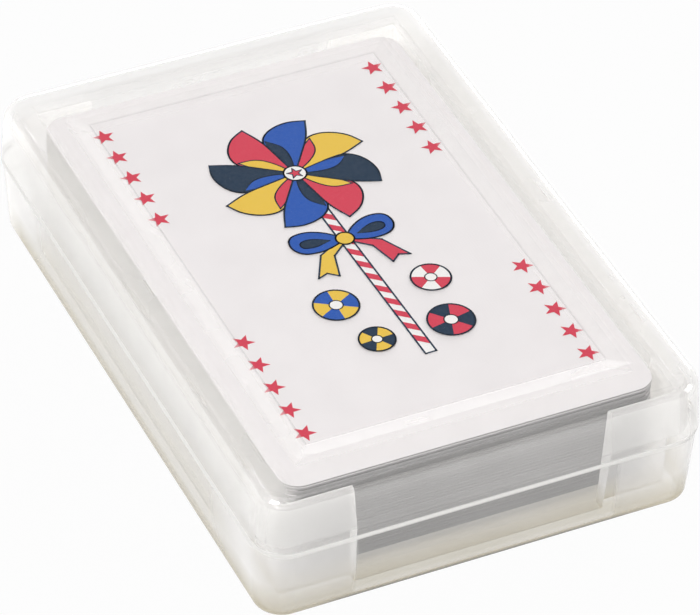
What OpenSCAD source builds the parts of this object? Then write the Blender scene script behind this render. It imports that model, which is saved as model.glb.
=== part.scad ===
// Deck of playing cards in a clear two-part case with a lift-off lid.
// Millimetres, Z up, origin under the middle of the case.

/* [Cards] */

// Width of a card
card_w = 57; // [50:0.5:64]

// Length of a card
card_l = 88; // [80:0.5:94]

// Thickness of a card
card_t = 0.29; // [0.25:0.01:0.33]

// Radius of a card's corners
card_corner_r = 3.2; // [2:0.1:5]

// Furthest that a card lies off the middle of the stack
card_jog = 0.12; // [0.02:0.02:0.3]

// Choice of the way each card lies
jog_seed = 7; // [1:1:50]

/* [Case walls] */

// Thickness of the side walls
wall_t = 1.5; // [1.2:0.1:2]

// Thickness of the floor and of the lid's top
plate_t = 1.4; // [1:0.1:2]

// Clear height over the top card
headroom = 0.5; // [0.2:0.1:2]

// Lean of the base's walls, in degrees
base_draft = 4; // [1:0.5:6]

// Rounding of the base's lower outside edge
base_edge_r = 1; // [0.6:0.1:1.4]

// Rounding inside the case where a wall meets a plate
inner_edge_r = 0.7; // [0.4:0.1:1]

/* [Lid] */

// Height of the lid
lid_h = 9.1; // [7:0.1:11]

// Lean of the lid's walls, in degrees
lid_draft = 4; // [1:0.5:6]

// Rounding of the lid's upper outside edge
lid_edge_r = 2.2; // [1.6:0.1:3]

// Clear space between the lid's rim and the posts, and overhang of the rim
lid_clear = 0.25; // [0.15:0.05:0.4]

/* [Panels] */

// Distance from the lid's rim to the flat of a panel
panel_inset = 11.3; // [10:0.1:14]

// Width of the slope around a panel
panel_run = 2.8; // [1.5:0.1:4]

// Depth of the panel sunk in the lid
panel_depth = 0.65; // [0.3:0.05:1.2]

// Height of the seat raised in the floor
seat_h = 1.9; // [1:0.1:3]

/* [Corner posts] */

// Clear space between the cards and the posts at the floor
card_gap = 1.35; // [0.8:0.05:3]

// Thickness of a post near its top
post_t = 1.4; // [1:0.1:2]

// Gap between the posts and the lid's top
post_drop = 1.3; // [0.6:0.1:2.5]

// Inside corner radius of a post at the floor
post_inner_r = 0.9; // [0.5:0.1:2]

// Length of a post along the case's short side
post_arm_w = 12.9; // [9:0.1:16]

// Length of a post along the case's long side
post_arm_l = 10; // [8:0.1:18]

// Lean of a post's inner face, in degrees
post_draft = 1.5; // [0.5:0.1:2]

// Lean of a post's outer face above the rim, in degrees
post_lead = 8; // [4:0.5:10]

// Lean of a post's ends, in degrees
post_end_draft = 1.8; // [0.5:0.1:4]

/* [Hidden] */

// Every card, from the bottom of the stack to the top
SUITS = ["spades", "hearts", "clubs", "diamonds"];
RANKS = [
    "ace", "two", "three", "four", "five", "six", "seven",
    "eight", "nine", "ten", "jack", "queen", "king"
];
CARDS = concat(
    [for (suit = SUITS) for (rank = RANKS) str(rank, "_of_", suit)],
    ["black_joker", "colour_joker"]
);

$fn = 96;
overrun = 1;

// Heights
seat_z = seat_h + plate_t;
deck_h = len(CARDS) * card_t;
deck_top = seat_z + deck_h;
case_h = deck_top + headroom + plate_t + panel_depth;
lid_under = case_h - plate_t;
seam_z = case_h - lid_h;
post_top = lid_under - post_drop;
post_round_z = post_top - post_t / 2;

// Distances out from the upright line through the middle of a corner
post_in = post_inner_r + (post_round_z - plate_t) * tan(post_draft);
post_out = post_in + post_t;
rim_in = post_out + (post_round_z - seam_z) * tan(post_lead);
lid_in = rim_in + lid_clear;
rim_out = rim_in + wall_t;
corner_r = lid_in + wall_t;

// Middle of a corner, seen from above
corner_x = card_w / 2 + card_gap - post_inner_r;
corner_y = card_l / 2 + card_gap - post_inner_r;
corners = [
    [corner_x, corner_y],
    [-corner_x, corner_y],
    [-corner_x, -corner_y],
    [corner_x, -corner_y]
];
sides = [2 * corner_y, 2 * corner_x, 2 * corner_y, 2 * corner_x];

// Flat of the sunk lid panel and of the raised seat
panel_w = 2 * (corner_x + corner_r - panel_inset);
panel_l = 2 * (corner_y + corner_r - panel_inset);

jogs = rands(-card_jog, card_jog, 2 * len(CARDS), jog_seed);

// Section of a cup that narrows upwards to a rounded edge
module cup(rim, height, draft, edge_r, below = 0) {
    middle = rim - (edge_r + (height - edge_r) * sin(draft)) / cos(draft);
    polygon([
        [0, -below],
        [rim, -below],
        [rim, 0],
        [middle + edge_r * cos(draft), height - edge_r + edge_r * sin(draft)],
        [middle, height],
        [0, height]
    ]);
    translate([middle, height - edge_r])
        circle(edge_r);
}

// Carries a section around the four corners and sides of the case
module around() {
    for (k = [0:3])
        translate(corners[k]) {
            rotate(90 * k)
                rotate_extrude(angle = 90)
                    children();
            rotate([90, 0, 90 * k])
                linear_extrude(sides[k])
                    children();
        }
}

// Plate between the corners, from z up
module plate(z) {
    translate([-corner_x, -corner_y, z])
        cube([2 * corner_x, 2 * corner_y, plate_t]);
}

// Flat-topped block with sloped sides and mitred corners, wide side down
module mitred_block(height, below = 0) {
    intersection() {
        rotate([90, 0, 0])
            linear_extrude(panel_l + 4 * panel_run, center = true)
                slope_section(panel_w / 2, height, below);
        rotate([90, 0, 90])
            linear_extrude(panel_w + 4 * panel_run, center = true)
                slope_section(panel_l / 2, height, below);
    }
}

module slope_section(half, height, below) {
    wide = half + panel_run;
    polygon([
        [-wide, -below],
        [wide, -below],
        [wide, 0],
        [half, height],
        [-half, height],
        [-wide, 0]
    ]);
}

// Upright section of a corner post, rounded at the top
module post_section() {
    polygon([
        [post_inner_r, plate_t],
        [post_inner_r, plate_t / 2],
        [rim_in, plate_t / 2],
        [rim_in, seam_z],
        [post_out, post_round_z],
        [post_in, post_round_z]
    ]);
    translate([post_in + post_t / 2, post_round_z])
        circle(post_t / 2);
}

// One arm of a post, running from the corner along the long side
module post_arm(reach) {
    arm = reach - rim_in;
    spread = post_top * tan(post_end_draft);
    intersection() {
        rotate([90, 0, 0])
            linear_extrude(arm + spread)
                post_section();
        rotate([90, 0, 90])
            linear_extrude(rim_out)
                polygon([
                    [overrun, 0],
                    [-arm - spread, 0],
                    [-arm, post_top],
                    [overrun, post_top]
                ]);
    }
}

module corner_post() {
    translate([corner_x, corner_y]) {
        rotate_extrude(angle = 90)
            post_section();
        post_arm(post_arm_l);
        mirror([1, -1, 0])
            post_arm(post_arm_w);
    }
}

// Lower half: walls, floor with its raised seat, and the posts around the cards
module case_base() {
    color([0.86, 0.87, 0.86, 0.4]) {
        difference() {
            union() {
                around()
                    translate([0, seam_z])
                        mirror([0, 1])
                            difference() {
                                cup(rim_out, seam_z, base_draft, base_edge_r);
                                cup(rim_in, seam_z - plate_t, base_draft, inner_edge_r, overrun);
                            }
                plate(0);
                translate([0, 0, plate_t])
                    mitred_block(seat_h, plate_t / 2);
            }
            mitred_block(seat_h, overrun);
        }
        for (turn_x = [0, 1], turn_y = [0, 1])
            mirror([turn_x, 0, 0])
                mirror([0, turn_y, 0])
                    corner_post();
    }
}

// Upper half, which lifts off: walls and a top with a sunk panel
module case_lid() {
    color([0.86, 0.87, 0.86, 0.4])
        difference() {
            union() {
                around()
                    translate([0, seam_z])
                        difference() {
                            cup(corner_r, lid_h, lid_draft, lid_edge_r);
                            cup(lid_in, lid_h - plate_t, lid_draft, inner_edge_r, overrun);
                        }
                plate(lid_under);
                translate([0, 0, lid_under])
                    mirror([0, 0, 1])
                        mitred_block(panel_depth, plate_t / 2);
            }
            translate([0, 0, case_h])
                mirror([0, 0, 1])
                    mitred_block(panel_depth, overrun);
        }
}

// One card, with rounded corners, in its place in the stack
module card(k) {
    x = card_w / 2 - card_corner_r;
    y = card_l / 2 - card_corner_r;
    color("white")
        translate([jogs[2 * k], jogs[2 * k + 1], seat_z + k * card_t])
            linear_extrude(card_t) {
                square([card_w, 2 * y], center = true);
                square([2 * x, card_l], center = true);
                for (side_x = [-x, x], side_y = [-y, y])
                    translate([side_x, side_y])
                        circle(card_corner_r);
            }
}

case_base();
case_lid();
for (k = [0:len(CARDS) - 1])
    card(k);
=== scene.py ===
import math

import bmesh
import bpy
from mathutils import Matrix, Vector


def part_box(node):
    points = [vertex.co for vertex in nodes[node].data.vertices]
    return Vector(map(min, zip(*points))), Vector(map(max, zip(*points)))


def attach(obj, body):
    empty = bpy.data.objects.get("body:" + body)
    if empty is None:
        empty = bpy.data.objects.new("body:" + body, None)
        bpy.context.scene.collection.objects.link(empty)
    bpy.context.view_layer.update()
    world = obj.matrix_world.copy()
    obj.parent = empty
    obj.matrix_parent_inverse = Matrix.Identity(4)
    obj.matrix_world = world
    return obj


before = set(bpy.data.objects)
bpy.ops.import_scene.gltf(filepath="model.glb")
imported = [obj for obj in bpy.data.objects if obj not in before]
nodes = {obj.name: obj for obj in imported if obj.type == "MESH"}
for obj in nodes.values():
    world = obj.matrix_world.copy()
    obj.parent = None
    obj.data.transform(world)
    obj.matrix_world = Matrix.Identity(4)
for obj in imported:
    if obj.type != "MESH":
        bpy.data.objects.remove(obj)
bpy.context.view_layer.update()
scene = bpy.context.scene
MM = 0.001

SUITS = ("spades", "hearts", "clubs", "diamonds")
RANKS = (
    "ace", "two", "three", "four", "five", "six", "seven",
    "eight", "nine", "ten", "jack", "queen", "king",
)
CARDS = [f"{rank}_of_{suit}" for suit in SUITS for rank in RANKS] + ["black_joker", "colour_joker"]

# Places on the deck and the case. X and Y are distances from the middle.
CARD_T = 0.29 * MM
SEAT_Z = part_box(CARDS[0])[0].z
SEAM_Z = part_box("case_lid")[0].z
PANEL_INSET = 11.3 * MM
PANEL_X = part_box("case_lid")[1].x - PANEL_INSET
PANEL_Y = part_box("case_lid")[1].y - PANEL_INSET
CORNER_X, CORNER_Y = 28.95 * MM, 44.45 * MM
RIM_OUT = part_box("case_base")[1].x - CORNER_X - 0.3 * MM
EDGE_OUT = 3.0 * MM
CREASE_HALF = 0.15 * MM
CREASE_Z = SEAM_Z + 8 * MM
POST_X, POST_Y = 29.2 * MM, 44.7 * MM
POST_OUT_X, POST_OUT_Y = 31.2 * MM, 46.7 * MM
POST_END_X = 23 * MM

# Share of light that one face of the plastic scatters, seen head on, by place
WINDOW_MILK = 0.001
RIM_TOP_MILK = 0.03
TOP_MILK = 0.07
BASE_MILK = 0.09
SLOPE_MILK = 0.16
WALL_MILK = 0.175
BORDER_MILK = 0.2
CREASE_MILK = 0.22
CORNER_MILK = 0.40
FLOOR_MILK = 0.40
POST_MILK = 0.5
EDGE_MILK = 0.75
SEAM_MILK = 0.95

# Colour of the light that the plastic scatters, with painted light at the far end and painted shade low
# down, at the bottom edge and along the crease
MILK_TONE = (0.90, 0.882, 0.865, 1)
LINE_TONE = (0.89, 0.875, 0.845, 1)
FAR_PAINTED_LIGHT = (0.985, 0.97, 0.955, 1)
LOW_PAINTED_SHADE = (0.53, 0.475, 0.35, 1)
CONTACT_SHADOW_TONE = (0.14, 0.135, 0.12, 1)
CREASE_SHADE_TONE = (0.5, 0.5, 0.5, 1)
CLEAR = (0.985, 0.984, 0.982, 1)
WHITE = (1, 1, 1, 1)

# How far the shading normal is raised, as light that entered elsewhere brightens upright faces
WALL_LIFT = 0.45
POST_LIFT = 0.85
SEAM_LIFT = 1.8

# Colours of the cards, with painted shade on their edges and on the borders of covered cards
LONG_EDGE = (0.86, 0.84, 0.80, 1)
LONG_EDGE_TOP_SHADE = (0.66, 0.64, 0.60, 1)
SHORT_END_SHADE_LOW = (0.125, 0.12, 0.115, 1)
SHORT_END_SHADE_TOP = (0.42, 0.41, 0.415, 1)
GAP_SHADE = (0.05, 0.05, 0.05, 1)
FACE_LOW, FACE_HIGH = (0.82, 0.786, 0.794, 1), (0.85, 0.816, 0.824, 1)
BACK_WHITE, BACK_BLUE = (0.90, 0.885, 0.87, 1), (0.045, 0.10, 0.33, 1)
SIDE_BORDER_SHADE = (28.2 * MM, (0.72, 0.70, 0.67, 1))
END_BORDER_SHADE = (43.7 * MM, (0.23, 0.225, 0.22, 1))


# Material nodes

class Tree:
    """The nodes of a material or world, with short names for those used often."""

    def __init__(self, owner):
        owner.use_nodes = True
        self.tree = owner.node_tree
        self.tree.nodes.clear()

    def add(self, kind, props=None, **sockets):
        """A node with its properties and inputs, each a value or another node's output.

        An input is named, or numbered as in i0.
        """
        node = self.tree.nodes.new("ShaderNode" + kind)
        for key, value in (props or {}).items():
            setattr(node, key, value)
        for key, value in sockets.items():
            numbered = key[0] == "i" and key[1:].isdigit()
            spot = node.inputs[int(key[1:]) if numbered else key.replace("_", " ")]
            if isinstance(value, bpy.types.NodeSocket):
                self.tree.links.new(value, spot)
            else:
                spot.default_value = value
        return node

    def first(self, kind, props=None, **sockets):
        return self.add(kind, props, **sockets).outputs[0]

    def calc(self, operation, *values):
        return self.first("Math", {"operation": operation}, **{f"i{k}": v for k, v in enumerate(values)})

    def plus(self, a, b):
        return self.calc("ADD", a, b)

    def minus(self, a, b):
        return self.calc("SUBTRACT", a, b)

    def times(self, a, b):
        return self.calc("MULTIPLY", a, b)

    def over_by(self, a, b):
        return self.calc("DIVIDE", a, b)

    def larger(self, a, b):
        return self.calc("MAXIMUM", a, b)

    def size(self, a):
        return self.calc("ABSOLUTE", a)

    def above(self, a, limit):
        return self.calc("GREATER_THAN", a, limit)

    def below(self, a, limit):
        return self.calc("LESS_THAN", a, limit)

    def within(self, a, limit):
        return self.below(self.size(a), limit)

    def beyond(self, a, limit):
        return self.above(self.size(a), limit)

    def ramp(self, value, low, high, start=0, end=1):
        return self.first(
            "MapRange", None, Value=value, From_Min=low, From_Max=high, To_Min=start, To_Max=end
        )

    def blend(self, factor, a, b):
        return self.first("Mix", None, i0=factor, i2=a, i3=b)

    def tint(self, factor, a, b):
        return self.add("Mix", {"data_type": "RGBA"}, i0=factor, i6=a, i7=b).outputs[2]

    def either(self, factor, a, b):
        return self.first("MixShader", None, i0=factor, i1=a, i2=b)

    def axes(self, vector):
        return self.add("SeparateXYZ", None, Vector=vector).outputs

    def noise(self, place, **settings):
        return self.add("TexNoise", None, Vector=place, **settings).outputs["Fac"]


def new_material(name):
    mat = bpy.data.materials.new(name)
    return mat, Tree(mat)


def shell_distance(t, x, y):
    """Distance out from the block through the middles of the case's four corners."""
    out = [t.larger(t.minus(t.size(q), c), 0.0) for q, c in ((x, CORNER_X), (y, CORNER_Y))]
    return t.calc("SQRT", t.plus(*(t.times(q, q) for q in out)))


def lid_zones(t, place, lean, upright):
    """How milky the lid is from place to place, its colour there with a painted shade line along the
    panel's crease, and the lift of its normal.
    """
    x, y, z = place
    up = lean[2]
    window = t.times(t.within(x, PANEL_X), t.within(y, PANEL_Y))
    slope = t.times(t.ramp(up, 0.975, 0.98, 1, 0), t.ramp(up, 0.95, 0.965))
    border = t.larger(t.ramp(t.size(x), 27.6 * MM, 29.5 * MM), t.ramp(y, 43.2 * MM, 45 * MM))
    top = t.blend(border, t.blend(slope, TOP_MILK, SLOPE_MILK), BORDER_MILK)
    milk = t.blend(upright, t.blend(window, top, WINDOW_MILK), WALL_MILK)
    deep = t.larger(t.minus(t.size(x), PANEL_X), t.minus(t.size(y), PANEL_Y))
    crease = t.times(t.within(deep, CREASE_HALF), t.above(z, CREASE_Z))
    milk = t.blend(crease, milk, CREASE_MILK)
    # Painted shade: a grey line along the panel's crease, except on the near side.
    not_near = t.above(y, -PANEL_Y + 0.2 * MM)
    return milk, t.tint(t.times(crease, not_near), MILK_TONE, CREASE_SHADE_TONE), WALL_LIFT


def base_zones(t, place, lean, upright):
    """As lid_zones, for the base and its posts, with painted shade low down and a painted shadow along the
    bottom edge.
    """
    x, y, z = place
    across, along, _ = lean
    beside = t.larger(t.beyond(x, POST_X), t.beyond(y, POST_Y))
    low_post = t.times(t.within(x, POST_OUT_X), t.within(y, POST_OUT_Y))
    high_post = t.above(z, SEAM_Z + 0.05 * MM)
    post = t.larger(t.times(beside, low_post), high_post)
    corner = t.times(t.ramp(t.size(x), 19.5 * MM, 20.5 * MM), t.ramp(t.size(y), 30 * MM, 42 * MM))
    wall = t.blend(corner, BASE_MILK, CORNER_MILK)
    level = t.ramp(z, SEAM_Z - 0.3 * MM, SEAM_Z - 0.2 * MM, FLOOR_MILK, RIM_TOP_MILK)
    milk = t.blend(post, t.blend(upright, level, wall), POST_MILK)
    post_end = t.times(t.times(t.beyond(y, POST_Y), t.within(x, POST_END_X)), t.above(across, 0.7))
    milk = t.blend(post_end, milk, SEAM_MILK)
    under = t.times(t.ramp(z, 0.6 * MM, 1.3 * MM, 1, 0), t.above(shell_distance(t, x, y), EDGE_OUT))
    milk = t.blend(under, milk, EDGE_MILK)
    # Painted shade: the milk turns darker and warmer towards the bottom.
    colour = t.tint(t.ramp(z, 1.5 * MM, 6 * MM, 1, 0), MILK_TONE, LOW_PAINTED_SHADE)
    # Painted shadow: a dark line along the bottom edge between the posts, on the near and far ends.
    between_posts = t.times(t.ramp(t.size(x), 20 * MM, 27 * MM, 1, 0), along)
    colour = t.tint(t.times(under, between_posts), colour, CONTACT_SHADOW_TONE)
    return milk, colour, t.blend(post, WALL_LIFT, POST_LIFT)


def clear_plastic(name, zones):
    """Moulded plastic, clear in the lid's panel, milkier elsewhere, most of all where the halves meet."""
    mat, t = new_material(name)
    mat.cycles.use_bump_map_correction = False
    coord = t.add("TexCoord")
    place = coord.outputs["Object"]
    x, y, z = t.axes(place)
    lean = [t.size(q) for q in t.axes(coord.outputs["Normal"])]
    _, along, up = lean
    waves = t.noise(place, Scale=110.0, Detail=2.0)
    scuffs = t.noise(place, Scale=500.0, Detail=4.0, Roughness=0.6)
    cloud = t.noise(place, Scale=70.0, Detail=3.0)

    upright = t.ramp(up, 0.45, 0.75, 1, 0)
    milk, colour, lift = zones(t, (x, y, z), lean, upright)
    milk = t.times(milk, t.ramp(cloud, 0.3, 0.7, 0.9, 1.1))
    # Painted light: the milk turns paler towards the far end, as if lit from behind.
    colour = t.tint(t.ramp(y, 40 * MM, 46 * MM), colour, FAR_PAINTED_LIGHT)

    # Where the halves meet: a painted highlight, a near-opaque band whose normal is raised so that it
    # lights like an upward ledge
    line_z = t.ramp(along, 0, 1, SEAM_Z + 0.4 * MM, SEAM_Z - 0.3 * MM)
    off_line = t.size(t.minus(z, line_z))
    seam = t.times(upright, t.ramp(off_line, 0.3 * MM, 0.65 * MM, 1, 0))
    seam = t.times(seam, t.above(shell_distance(t, x, y), RIM_OUT))
    milk = t.blend(seam, milk, SEAM_MILK)
    colour = t.tint(seam, colour, LINE_TONE)
    lift = t.blend(seam, lift, SEAM_LIFT)

    # A slanted look passes through more of the plastic
    facing = t.add("LayerWeight", None, Blend=0.5).outputs["Facing"]
    longer = t.over_by(1.0, t.larger(t.minus(1.0, facing), 0.15))
    milk = t.minus(1.0, t.calc("POWER", t.minus(1.0, milk), longer))
    head_on = t.ramp(up, 0.9, 0.97, 0.1, 0.04)
    mirror = t.plus(head_on, t.times(0.93, t.calc("POWER", facing, 5.0)))
    inside = t.add("NewGeometry").outputs["Backfacing"]
    mirror = t.times(mirror, t.minus(1.0, inside))

    bump = t.first("Bump", None, Strength=0.03, Distance=0.6 * MM, Height=waves)
    groove = t.first("CombineXYZ", None, Z=lift)
    raised, sunk = (
        t.first(
            "VectorMath", {"operation": "NORMALIZE"},
            i0=t.first("VectorMath", {"operation": how}, i0=bump, i1=groove),
        )
        for how in ("ADD", "SUBTRACT")
    )
    open_way = t.first("BsdfTransparent", None, Color=CLEAR)
    body = t.first("BsdfDiffuse", None, Color=colour, Normal=raised)
    glow = t.first("BsdfTranslucent", None, Color=colour, Normal=sunk)
    # Painted light: more of the milk is translucent on the far end and, less so, on the right side, so
    # these glow brighter by light from behind.
    right_side = t.times(t.ramp(x, 26 * MM, 31 * MM, 0, 0.2), t.ramp(y, -36 * MM, -30 * MM))
    away = t.larger(t.ramp(y, 38 * MM, 46 * MM), right_side)
    cloudy = t.either(t.blend(seam, t.ramp(away, 0, 1, 0.25, 0.65), 0.1), body, glow)
    through = t.either(milk, open_way, cloudy)
    gloss = t.first(
        "BsdfGlossy", None, Color=WHITE, Roughness=t.ramp(scuffs, 0.3, 0.75, 0.1, 0.18), Normal=bump
    )
    both = t.either(mirror, through, gloss)

    # Lamps and bounced light pass straight to the cards
    path = t.add("LightPath")
    for ray in ("Is Diffuse Ray", "Is Shadow Ray"):
        both = t.either(path.outputs[ray], both, open_way)
    t.add("OutputMaterial", None, Surface=both)
    return mat


def card_edge(t, x, y, z, along, level, which):
    """The cut edge, with painted shade: pale on the long sides and darker near their top, dark grey at the
    short ends and darker still low down, and darker between cards.
    """
    tone = t.add("TexWhiteNoise", {"noise_dimensions": "1D"}, W=which).outputs["Value"]
    # Painted shade: each card's edge turns darker towards its top and bottom, as in the gaps between cards.
    rim = t.size(t.minus(t.calc("FRACT", level), 0.5))
    fibre_at = t.first("CombineXYZ", None, X=t.times(x, 700.0), Y=t.times(y, 700.0), Z=t.times(level, 1.7))
    fibre = t.noise(fibre_at, Scale=1.0, Detail=3.0, Roughness=0.6)
    shade = t.times(t.ramp(tone, 0, 1, 0.9, 1.0), t.ramp(rim, 0.28, 0.5, 1.0, 0.85))
    shade = t.times(shade, t.ramp(fibre, 0.3, 0.7, 0.86, 1.05))
    # Painted shade: the short ends far darker than the long sides and darkest low down, the long sides
    # darker near the top.
    short = t.tint(t.ramp(z, 15.6 * MM, 18.2 * MM), SHORT_END_SHADE_LOW, SHORT_END_SHADE_TOP)
    long = t.tint(t.ramp(z, 14 * MM, 18 * MM), LONG_EDGE, LONG_EDGE_TOP_SHADE)
    return t.tint(shade, GAP_SHADE, t.tint(t.size(along), long, short))


def lattice_back(t, x, y):
    half_w, half_l, pitch = 22.5 * MM, 38 * MM, 4.0 * MM
    slants = (t.over_by(t.plus(x, y), pitch), t.over_by(t.minus(x, y), pitch))
    lines = [t.size(t.minus(t.calc("FRACT", q), 0.5)) for q in slants]
    band = t.above(t.larger(*lines), 0.41)
    dot = t.below(t.plus(*lines), 0.16)
    inside = t.times(t.within(x, half_w), t.within(y, half_l))
    inked = t.times(inside, t.minus(1.0, t.larger(band, dot)))
    return t.tint(inked, BACK_WHITE, BACK_BLUE)


def card_stock():
    """Coated card: white face, lattice back, and an edge whose tone differs from card to card, with painted
    shade on edges and covered borders.
    """
    mat, t = new_material("card_stock")
    coord = t.add("TexCoord")
    x, y, z = t.axes(coord.outputs["Object"])
    _, along, up = t.axes(coord.outputs["Normal"])
    is_face = t.above(up, 0.5)
    is_back = t.below(up, -0.5)
    level = t.over_by(t.minus(z, SEAT_Z), CARD_T)
    which = t.calc("FLOOR", level)

    # Face, with the faint unevenness of coated card and painted shade on the borders of the covered cards
    cloud = t.noise(coord.outputs["Object"], Scale=160.0, Detail=3.0)
    face = t.tint(t.ramp(cloud, 0.3, 0.7), FACE_LOW, FACE_HIGH)
    covered = t.below(which, len(CARDS) - 1.5)
    for q, (limit, tone) in ((x, SIDE_BORDER_SHADE), (y, END_BORDER_SHADE)):
        face = t.tint(t.times(covered, t.beyond(q, limit)), face, tone)
    edge = card_edge(t, x, y, z, along, level, which)
    colour = t.tint(is_back, t.tint(is_face, edge, face), lattice_back(t, x, y))

    weave_pitch = 0.45 * MM
    weave = [t.calc("SINE", t.times(q, 2 * math.pi / weave_pitch)) for q in (x, y)]
    linen = t.first("Bump", None, Strength=0.06, Distance=0.02 * MM, Height=t.plus(*weave))
    flat = t.larger(is_face, is_back)
    stock = t.first(
        "BsdfPrincipled", None, Base_Color=colour, Roughness=t.ramp(flat, 0, 1, 0.85, 0.42), Normal=linen
    )
    t.add("OutputMaterial", None, Surface=stock)
    return mat


def ink(name, colour):
    """Printed ink: the colour with a little unevenness."""
    mat, t = new_material("ink_" + name)
    speck = t.noise(t.add("TexCoord").outputs["Object"], Scale=2600.0, Detail=2.0)
    paper, thinning = 0.9, 0.015
    thin = tuple(c + (paper - c) * thinning for c in colour)
    tone = t.tint(t.ramp(speck, 0.35, 0.75), (*colour, 1), (*thin, 1))
    dry = t.first("BsdfPrincipled", None, Base_Color=tone, Roughness=0.38, Specular_IOR_Level=0.08)
    t.add("OutputMaterial", None, Surface=dry)
    return mat


def dress(name, material):
    nodes[name].data.materials.clear()
    nodes[name].data.materials.append(material)


dress("case_base", clear_plastic("case_base_plastic", base_zones))
dress("case_lid", clear_plastic("case_lid_plastic", lid_zones))
stock = card_stock()
for card in CARDS:
    dress(card, stock)
INKS = {
    "red": ink("red", (0.65, 0.048, 0.088)),
    "navy": ink("navy", (0.006, 0.028, 0.064)),
    "blue": ink("blue", (0.015, 0.092, 0.43)),
    "yellow": ink("yellow", (0.80, 0.53, 0.068)),
    "white": ink("white", (0.88, 0.87, 0.86)),
}


# Printed shapes, in millimetres from the middle of a card

INK_GAP = 0.003 * MM
LAYER, THIN_LAYER = 0.0012 * MM, 0.0002 * MM
OUTLINE = 0.28
TINY = 1e-6


def turned(points, angle=0.0, by=(0.0, 0.0), size=1.0):
    c, s = math.cos(angle) * size, math.sin(angle) * size
    return [(by[0] + c * x - s * y, by[1] + s * x + c * y) for x, y in points]


def star(radius, points=5, depth=0.42):
    shape = []
    for k in range(2 * points):
        reach = radius if k % 2 == 0 else radius * depth
        shape.append((reach * math.sin(math.pi * k / points), reach * math.cos(math.pi * k / points)))
    return shape


def disc(radius, start=0.0, end=2 * math.pi, steps=40):
    angles = [start + (end - start) * k / steps for k in range(steps + 1)]
    return [(radius * math.cos(q), radius * math.sin(q)) for q in angles]


def polar(reach, spots):
    return [(reach * r * math.cos(a), reach * r * math.sin(a)) for r, a in spots]


def eased(points, rounds=3):
    """The line with its corners rounded and its two ends kept."""
    for _ in range(rounds):
        cut = []
        for (x0, y0), (x1, y1) in zip(points, points[1:]):
            cut.append((0.75 * x0 + 0.25 * x1, 0.75 * y0 + 0.25 * y1))
            cut.append((0.25 * x0 + 0.75 * x1, 0.25 * y0 + 0.75 * y1))
        points = [points[0], *cut[1:-1], points[-1]]
    return points


def ribbon(points, width, closed=False):
    """Four-sided strips along a line, each a little longer than its piece so that corners close."""
    loop = points + points[:1] if closed else points
    strips = []
    for (x0, y0), (x1, y1) in zip(loop, loop[1:]):
        length = math.hypot(x1 - x0, y1 - y0)
        if length < TINY:
            continue
        dx, dy = (x1 - x0) / length * width / 2, (y1 - y0) / length * width / 2
        strips.append([
            (x0 - dx - dy, y0 - dy + dx),
            (x0 - dx + dy, y0 - dy - dx),
            (x1 + dx + dy, y1 + dy - dx),
            (x1 + dx - dy, y1 + dy + dx),
        ])
    return strips


class Print:
    """The shapes printed on one card. Later shapes lie over earlier ones."""

    def __init__(self):
        self.shapes = []

    def fill(self, points, colour):
        ends_meet = math.dist(points[0], points[-1]) < TINY
        self.shapes.append((colour, [points[:-1] if ends_meet else points]))

    def line(self, points, width, colour="navy", closed=True):
        self.shapes.append((colour, ribbon(points, width, closed)))

    def drawn(self, points, colour, width=OUTLINE):
        self.fill(points, colour)
        self.line(points, width)

    def build(self, card, offset=(0.0, 0.0), step=THIN_LAYER):
        low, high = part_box(card)
        middle = (low + high) / 2
        bm = bmesh.new()
        used = []
        for k, (colour, polygons) in enumerate(self.shapes):
            if colour not in used:
                used.append(colour)
            z = high.z + INK_GAP + k * step
            for points in polygons:
                area = sum(
                    x0 * y1 - x1 * y0 for (x0, y0), (x1, y1) in zip(points, points[1:] + points[:1])
                )
                if area < 0:
                    points = points[::-1]
                spots = [
                    bm.verts.new((middle.x + (x + offset[0]) * MM, middle.y + (y + offset[1]) * MM, z))
                    for x, y in points
                ]
                bm.faces.new(spots).material_index = used.index(colour)
        mesh = bpy.data.meshes.new(card + "_print")
        bm.to_mesh(mesh)
        bm.free()
        for colour in used:
            mesh.materials.append(INKS[colour])
        piece = bpy.data.objects.new(card + "_print", mesh)
        scene.collection.objects.link(piece)
        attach(piece, "card_" + card)


# The jokers: a toy windmill with a bow and four balls, and a column of red stars at each corner

STAR_R, STAR_X, STAR_Y, STAR_PITCH = 1.75, 21.75, 14.9, 5.2
HUB, FOOT = (0.6, 17.0), (1.6, -27.0)
STICK_HALF, STRIPE = 0.85, 3.0
SAIL_REACH = 12.6
SAIL_EDGE = ((0.35, -0.03), (0.7, -0.03), (1.0, 0.05))
SAIL_CURVE = ((1.0, 0.05), (0.97, 0.28), (0.86, 0.55), (0.70, 0.77), (0.45, 0.80))
FOLD_EDGE = ((0.68, 0.70), (0.52, 0.44), (0.28, 0.30))
FOLD_CURVE = ((0.45, 0.82), (0.68, 0.70))
SAIL_COLOURS = ("yellow", "blue", "red", "navy")
FOLD_COLOURS = ("red", "navy", "yellow", "blue")
KNOT = (1.0, 0.5)
BOW_TAIL = ((0.2, -0.6), (3.0, -3.0), (4.2, -7.4), (5.6, -6.2), (7.2, -6.8), (4.8, -2.2), (1.2, -0.2))
BOW_LOOP = (
    (0.0, 0.0), (2.0, 2.2), (4.8, 3.6), (7.6, 3.2), (8.2, 0.8), (7.0, -1.2), (4.2, -1.6), (1.8, -1.0),
    (0.0, 0.0),
)
BOW_HOLLOW = ((2.2, 0.4), (4.6, 1.8), (6.6, 1.6), (6.6, 0.1), (4.6, -0.3), (2.2, 0.4))
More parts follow.
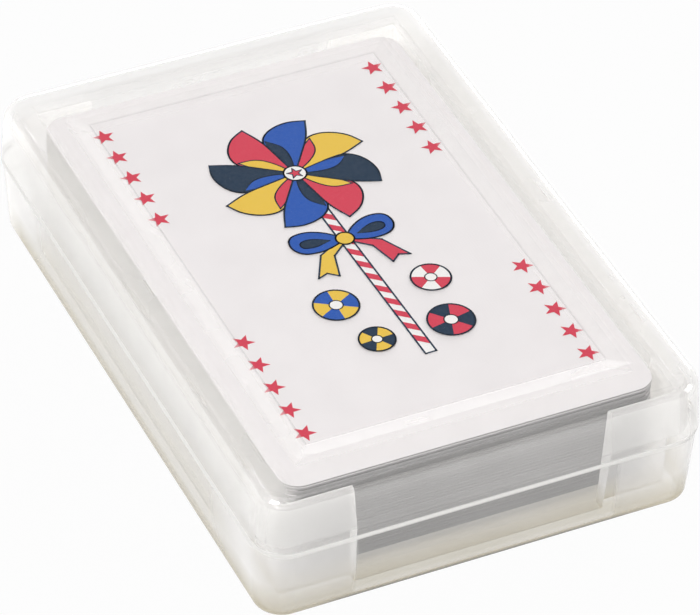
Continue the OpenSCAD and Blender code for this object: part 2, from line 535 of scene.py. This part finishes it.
# Middle, radius, two colours and turn of each ball
BALLS = (
    ((-6.4, -12.6), 3.3, "blue", "yellow", 0.5),
    ((8.6, -12.2), 2.9, "red", "white", -0.4),
    ((-4.2, -21.6), 2.6, "yellow", "navy", 1.1),
    ((7.2, -21.8), 3.4, "navy", "red", 0.2),
)
JOKER_SHIFT = (0.5, 1.5)


def draw_stick(art):
    lean = math.atan2(FOOT[1] - HUB[1], FOOT[0] - HUB[0])
    length = math.hypot(FOOT[0] - HUB[0], FOOT[1] - HUB[1])
    half = STICK_HALF
    stick = turned([(0, -half), (length, -half), (length, half), (0, half)], lean, HUB)
    art.fill(stick, "white")
    at = 0.4
    while at + STRIPE < length:
        middle = at + STRIPE / 2
        stripe = [(at, -half), (middle, -half), (at + STRIPE, half), (middle, half)]
        art.fill(turned(stripe, lean, HUB), "red")
        at += STRIPE
    art.line(stick, OUTLINE)


def draw_windmill(art):
    middle = (0.0, 0.0)
    sail = eased([middle, *polar(SAIL_REACH, SAIL_EDGE)]) + eased(polar(SAIL_REACH, SAIL_CURVE))[1:]
    fold = eased([*polar(SAIL_REACH, FOLD_EDGE), middle])
    fold += eased([middle, *polar(SAIL_REACH, FOLD_CURVE)])[1:-1]
    for k in range(8):
        turn = math.pi / 4 * k + 0.2
        art.drawn(turned(sail, turn, HUB), SAIL_COLOURS[k % 4])
        art.drawn(turned(fold, turn, HUB), FOLD_COLOURS[k % 4], 0.22)
    art.drawn(turned(disc(1.7), 0, HUB), "white")
    art.drawn(turned(star(1.2), 0, HUB), "red", 0.18)


def draw_bow(art):
    for side in (-1, 1):
        tail, loop, hollow = ([(side * x, y) for x, y in part] for part in (BOW_TAIL, BOW_LOOP, BOW_HOLLOW))
        art.drawn(turned(tail, 0, KNOT), "yellow" if side < 0 else "red")
        art.drawn(turned(eased(loop)[:-1], 0, KNOT), "blue")
        art.drawn(turned(eased(hollow)[:-1], 0, KNOT), "navy", 0.2)
    art.drawn(turned(disc(1.35), 0, KNOT), "yellow")


def draw_ball(art, spot, radius, first, second, turn):
    for k in range(6):
        wedge = [(0.0, 0.0)] + disc(radius, math.pi / 3 * k, math.pi / 3 * (k + 1), 10)
        art.fill(turned(wedge, turn, spot), first if k % 2 else second)
    art.line(turned(disc(radius), 0, spot), OUTLINE)
    art.drawn(turned(disc(radius * 0.3), 0, spot), "white", 0.18)


def joker_print():
    art = Print()
    for side in (-1, 1):
        for end in (-1, 1):
            for k in range(5):
                spot = (side * STAR_X, end * (STAR_Y + STAR_PITCH * k))
                art.fill(turned(star(STAR_R), 0.0 if end > 0 else math.pi, spot), "red")
    draw_stick(art)
    draw_windmill(art)
    draw_bow(art)
    for ball in BALLS:
        draw_ball(art, *ball)
    return art


joker_print().build("colour_joker", JOKER_SHIFT, LAYER)


# Faces of the covered cards: suit marks in the common layout, ranks in plain strokes

def heart():
    shape = []
    for k in range(24):
        q = 2 * math.pi * k / 24
        y = 13 * math.cos(q) - 5 * math.cos(2 * q) - 2 * math.cos(3 * q) - math.cos(4 * q)
        shape.append((math.sin(q) ** 3 / 2, y / 32))
    return shape


DIAMOND = [
    (0.0, 0.55), (0.18, 0.24), (0.4, 0.0), (0.18, -0.24), (0.0, -0.55), (-0.18, -0.24), (-0.4, 0.0),
    (-0.18, 0.24),
]
LEAVES = ((0.0, 0.27), (-0.25, -0.09), (0.25, -0.09), (0.0, 0.03))
STEM = [(0.03, 0.0), (0.06, -0.3), (0.22, -0.52), (-0.22, -0.52), (-0.06, -0.3), (-0.03, 0.0)]
SUIT_SHAPES = {
    "hearts": [heart()],
    "diamonds": [DIAMOND],
    "spades": [turned(heart(), math.pi, (0.0, 0.06), 0.92), STEM],
    "clubs": [turned(disc(0.235, steps=16), 0, spot) for spot in LEAVES] + [STEM],
}

# Ranks, in a box 1 wide and 1.5 high
OVAL = [(0.5 + x, 0.75 + 1.5 * y) for x, y in disc(0.5, steps=16)]
SIX = [
    (0.9, 1.4), (0.5, 1.5), (0.15, 1.2), (0, 0.6), (0.1, 0.2), (0.5, 0), (0.9, 0.2), (1, 0.5),
    (0.85, 0.8), (0.5, 0.9), (0.1, 0.7),
]
STROKES = {
    "ace": [[(0, 0), (0.5, 1.5), (1, 0)], [(0.2, 0.5), (0.8, 0.5)]],
    "two": [[(0, 1.2), (0.15, 1.42), (0.5, 1.5), (0.85, 1.4), (1, 1.12), (0.85, 0.8), (0, 0), (1, 0)]],
    "three": [[
        (0, 1.3), (0.3, 1.5), (0.75, 1.45), (0.95, 1.15), (0.8, 0.87), (0.45, 0.78), (0.85, 0.68),
        (1, 0.4), (0.8, 0.1), (0.4, 0), (0, 0.2),
    ]],
    "four": [[(0.75, 0), (0.75, 1.5), (0, 0.45), (1, 0.45)]],
    "five": [[
        (0.95, 1.5), (0.15, 1.5), (0.1, 0.85), (0.5, 0.95), (0.9, 0.8), (1, 0.45), (0.8, 0.1),
        (0.4, 0), (0, 0.15),
    ]],
    "six": [SIX],
    "seven": [[(0, 1.5), (1, 1.5), (0.4, 0)]],
    "eight": [
        [(0.5, 0.8), (0.15, 0.95), (0.1, 1.25), (0.5, 1.5), (0.9, 1.25), (0.85, 0.95), (0.5, 0.8)],
        [(0.5, 0.8), (0.1, 0.65), (0, 0.35), (0.5, 0), (1, 0.35), (0.9, 0.65), (0.5, 0.8)],
    ],
    "nine": [turned(SIX, math.pi, (1, 1.5))],
    "ten": [[(0, 0), (0, 1.5)], [(0.4 + 0.6 * x, y) for x, y in OVAL]],
    "jack": [[(0.35, 1.5), (1, 1.5)], [(0.7, 1.5), (0.7, 0.3), (0.5, 0.02), (0.2, 0.02), (0, 0.3)]],
    "queen": [OVAL, [(0.6, 0.4), (1, 0)]],
    "king": [[(0, 0), (0, 1.5)], [(1, 1.5), (0, 0.6)], [(0.3, 0.87), (1, 0)]],
}

# Rows of suit marks in the side columns and the middle one, as shares of ROW
THREE_ROWS, FOUR_ROWS = (1, 0, -1), (1, 1 / 3, -1 / 3, -1)
SIDE_ROWS = {
    4: (1, -1), 5: (1, -1), 6: THREE_ROWS, 7: THREE_ROWS, 8: THREE_ROWS, 9: FOUR_ROWS, 10: FOUR_ROWS,
}
MIDDLE_ROWS = {
    1: (0,), 2: (1, -1), 3: THREE_ROWS, 5: (0,), 7: (0.5,), 8: (0.5, -0.5), 9: (0,), 10: (2 / 3, -2 / 3),
}
COLUMN, ROW = 10.5, 27.0
MARK, ACE_MARK, SMALL_MARK, COURT_MARK = 9.0, 20.0, 4.6, 6.6
RANK_SPOT, RANK_SIZE, RANK_STROKE = (-25.6, 34.4), 4.0, 0.8
SMALL_SPOT, COURT_SPOT = (-23.6, 29.4), (-12.2, 27.2)
COURT_FRAME = [(-18.0, -33.0), (18.0, -33.0), (18.0, 33.0), (-18.0, 33.0)]
LOZENGE = [(0.0, 6.2), (5.2, 0.0), (0.0, -6.2), (-5.2, 0.0)]
LOZENGE_X, LOZENGE_Y = 11.0, 12.8
LOZENGE_COLOURS = ("red", "yellow", "blue", "navy")
CROWN = [(-4.6, -3.6), (4.6, -3.6), (5.6, 3.2), (2.6, 0.2), (0.0, 4.6), (-2.6, 0.2), (-5.6, 3.2)]


def mark(art, suit, colour, place, size, turn=0.0):
    for shape in SUIT_SHAPES[suit]:
        art.fill(turned(shape, turn, place, size), colour)


def draw_court(art, rank, suit, colour, count):
    """A framed lozenge pattern with a crown, a rosette or a star in the place of a figure."""
    for column in range(-1, 2):
        for row in range(-2, 3):
            spot = (column * LOZENGE_X, row * LOZENGE_Y)
            art.fill(turned(LOZENGE, 0, spot), LOZENGE_COLOURS[(column + 2 * row + count) % 4])
    art.line(COURT_FRAME, 0.5, "blue")
    art.drawn(disc(7.5), "white")
    if rank == "king":
        art.drawn(CROWN, "yellow")
    elif rank == "queen":
        for k in range(6):
            petal = (3.2 * math.cos(math.pi * k / 3), 3.2 * math.sin(math.pi * k / 3))
            art.drawn(turned(disc(2.0, steps=16), 0, petal), "red", 0.2)
        art.drawn(disc(1.6, steps=16), "yellow", 0.2)
    else:
        art.drawn(star(5.6, 8, 0.6), "blue")
    for turn in (0.0, math.pi):
        spot = turned([COURT_SPOT], turn)[0]
        art.drawn(turned(disc(4.9), 0, spot), "white", 0.25)
        mark(art, suit, colour, spot, COURT_MARK, turn)


def card_print(rank, suit):
    """Suit marks or a framed pattern, with the rank and a small mark at two corners."""
    art = Print()
    colour = "red" if suit in ("hearts", "diamonds") else "navy"
    for turn in (0.0, math.pi):
        for stroke in STROKES[rank]:
            drawn = turned(turned(stroke, 0, RANK_SPOT, RANK_SIZE), turn)
            art.line(drawn, RANK_STROKE, colour, closed=False)
        mark(art, suit, colour, turned([SMALL_SPOT], turn)[0], SMALL_MARK, turn)
    count = RANKS.index(rank) + 1
    if count > 10:
        draw_court(art, rank, suit, colour, count)
        return art
    for side in (-1, 1):
        for row in SIDE_ROWS.get(count, ()):
            mark(art, suit, colour, (side * COLUMN, row * ROW), MARK, 0.0 if row >= 0 else math.pi)
    for row in MIDDLE_ROWS.get(count, ()):
        size = ACE_MARK if count == 1 else MARK
        mark(art, suit, colour, (0.0, row * ROW), size, 0.0 if row >= 0 else math.pi)
    return art


for suit in SUITS:
    for rank in RANKS:
        card_print(rank, suit).build(f"{rank}_of_{suit}")
plain = joker_print()
plain.shapes = [
    ("white" if colour in ("white", "yellow") else "navy", shape) for colour, shape in plain.shapes
]
plain.build("black_joker")


# Camera at the photograph's place

RIGHT = Vector((0.90795472, -0.41825774, 0.02605154))
UP = Vector((0.25000935, 0.59051429, 0.76732535))
BACK = Vector((-0.33632358, -0.69018355, 0.64072859))
EYE = Vector((-245.3212919, -507.04441414, 478.31056402)) * MM
lens = bpy.data.cameras.new("camera")
lens.sensor_width = 36
lens.lens = 261.41
camera = bpy.data.objects.new("camera", lens)
camera.matrix_world = Matrix([(RIGHT[k], UP[k], BACK[k], EYE[k]) for k in range(3)] + [(0, 0, 0, 1)])
scene.collection.objects.link(camera)
scene.camera = camera


# Floor, backdrop and lamps

FLOOR_GREY, FLOOR_PALE = (0.58, 0.58, 0.58, 1), (0.60, 0.60, 0.60, 1)
FLOOR_HALF, FLOOR_DROP = 4, 0.02 * MM


def floor_material():
    """Pale grey to lamps, and near white to the eye, less so where it is seen through plastic."""
    mat, t = new_material("floor")
    grain = t.noise(t.add("TexCoord").outputs["Object"], Scale=30.0, Detail=3.0)
    path = t.add("LightPath")
    seen = path.outputs["Is Camera Ray"]
    for other in ("Is Glossy Ray", "Is Transmission Ray"):
        seen = t.larger(seen, path.outputs[other])
    behind = t.above(path.outputs["Transparent Depth"], 0.5)
    share = t.times(seen, t.ramp(behind, 0, 1, 0.95, 0.8))
    diffuse = t.first("BsdfDiffuse", None, Color=t.tint(grain, FLOOR_GREY, FLOOR_PALE))
    glow = t.first("Emission", None, Color=WHITE, Strength=1.0)
    t.add("OutputMaterial", None, Surface=t.either(share, diffuse, glow))
    return mat


bm = bmesh.new()
bmesh.ops.create_grid(bm, x_segments=8, y_segments=8, size=FLOOR_HALF)
mesh = bpy.data.meshes.new("floor")
bm.to_mesh(mesh)
bm.free()
mesh.materials.append(floor_material())
floor = bpy.data.objects.new("floor", mesh)
floor.location.z = -FLOOR_DROP
scene.collection.objects.link(floor)

world = bpy.data.worlds.new("studio")
w = Tree(world)
path = w.add("LightPath")
seen = w.larger(path.outputs["Is Camera Ray"], path.outputs["Is Transmission Ray"])
_, ahead, above = w.axes(w.add("TexCoord").outputs["Generated"])
backdrop = w.times(w.ramp(above, 0.40, 0.55, 1, 0), w.ramp(ahead, -0.2, 0.5))
front = w.ramp(ahead, -0.5, 0.0, 0.32, 0.2)
room = w.first("Background", None, Color=WHITE, Strength=w.blend(backdrop, front, 1.1))
paper = w.first("Background", None, Color=WHITE, Strength=1.0)
w.add("OutputWorld", None, Surface=w.either(seen, room, paper))
scene.world = world

AIM = Vector((0, 0, 0.01))


def lamp(name, place, size, watts):
    data = bpy.data.lights.new(name, "AREA")
    data.shape = "RECTANGLE"
    data.size, data.size_y = size
    data.energy = watts
    obj = bpy.data.objects.new(name, data)
    obj.location = place
    obj.rotation_mode = "QUATERNION"
    obj.rotation_quaternion = (AIM - Vector(place)).to_track_quat("-Z", "Y")
    scene.collection.objects.link(obj)


lamp("key_lamp", (-0.58, -0.33, 0.74), (0.4, 0.4), 5.6)
lamp("side_lamp", (0.85, -0.40, 0.35), (0.5, 0.5), 2.6)
lamp("back_lamp", (0.6, 0.95, 0.13), (1.0, 0.24), 12.0)
lamp("top_lamp", (-0.15, -0.25, 0.95), (0.9, 0.9), 2.4)

scene.view_settings.view_transform = "Standard"
